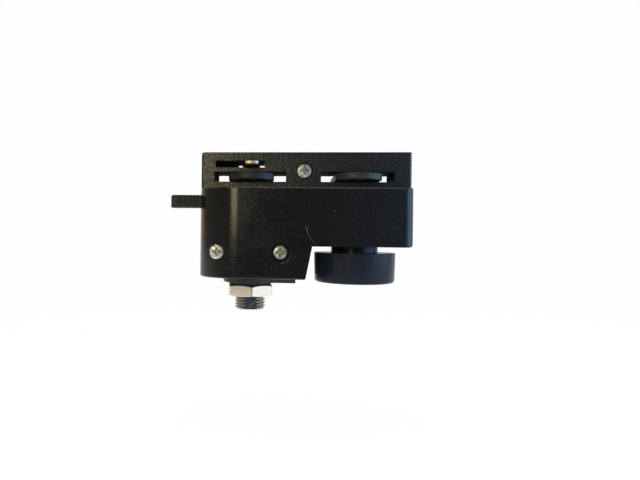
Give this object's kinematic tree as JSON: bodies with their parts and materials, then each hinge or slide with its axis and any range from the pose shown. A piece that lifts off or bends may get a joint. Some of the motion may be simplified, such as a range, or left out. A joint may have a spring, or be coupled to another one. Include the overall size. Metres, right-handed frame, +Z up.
{
  "type": "track light adapter",
  "caption": "Moulded adapter that locks a lamp to a lighting track with turning cams, copper contact tongues, a lever and a knob; threaded nipple below.",
  "frame": {"origin": "on the ledge that rests against the track, midway between the two turning axes, in the parting plane", "axes": "+X along the track towards the knob, +Y across the track away from the screw heads, +Z up into the track"},
  "size_m": [0.0771, 0.0264, 0.0505],
  "materials": {
    "housing_plastic": "moulded black with a fine grain",
    "cam_plastic": "smooth moulded black",
    "lever_plastic": "matte dark grey",
    "knob_plastic": "smooth moulded black",
    "copper": "bare copper strip",
    "plated_screw": "nickel-plated",
    "nickel_steel": "nickel-plated, turned",
    "washer_fibre": "black pressed fibre"
  },
  "bodies": {
    "housing": {"housing_front": "housing_plastic", "housing_rear": "housing_plastic", "top_screw": "plated_screw", "lower_screws": "plated_screw", "nipple": "nickel_steel", "inner_nut": "nickel_steel", "nut_washer": "washer_fibre", "outer_nut": "nickel_steel"},
    "contact_spindle": {"contact_rotor": "cam_plastic", "rotor_cap": "cam_plastic", "line_contact": "copper", "neutral_contact": "copper", "switch_lever": "lever_plastic"},
    "lock_spindle": {"lock_knob": "knob_plastic", "lock_cam": "cam_plastic", "cam_screw": "plated_screw"}
  },
  "joints": [
    {"name": "lever_turn", "type": "hinge", "parent": "housing", "child": "contact_spindle", "pos_m": [-0.017, 0, 0], "axis": [0, 0, 1], "range_deg": [-90, 0]},
    {"name": "knob_turn", "type": "hinge", "parent": "housing", "child": "lock_spindle", "pos_m": [0.017, 0, 0], "axis": [0, 0, 1], "range_deg": [-90, 0]}
  ]
}
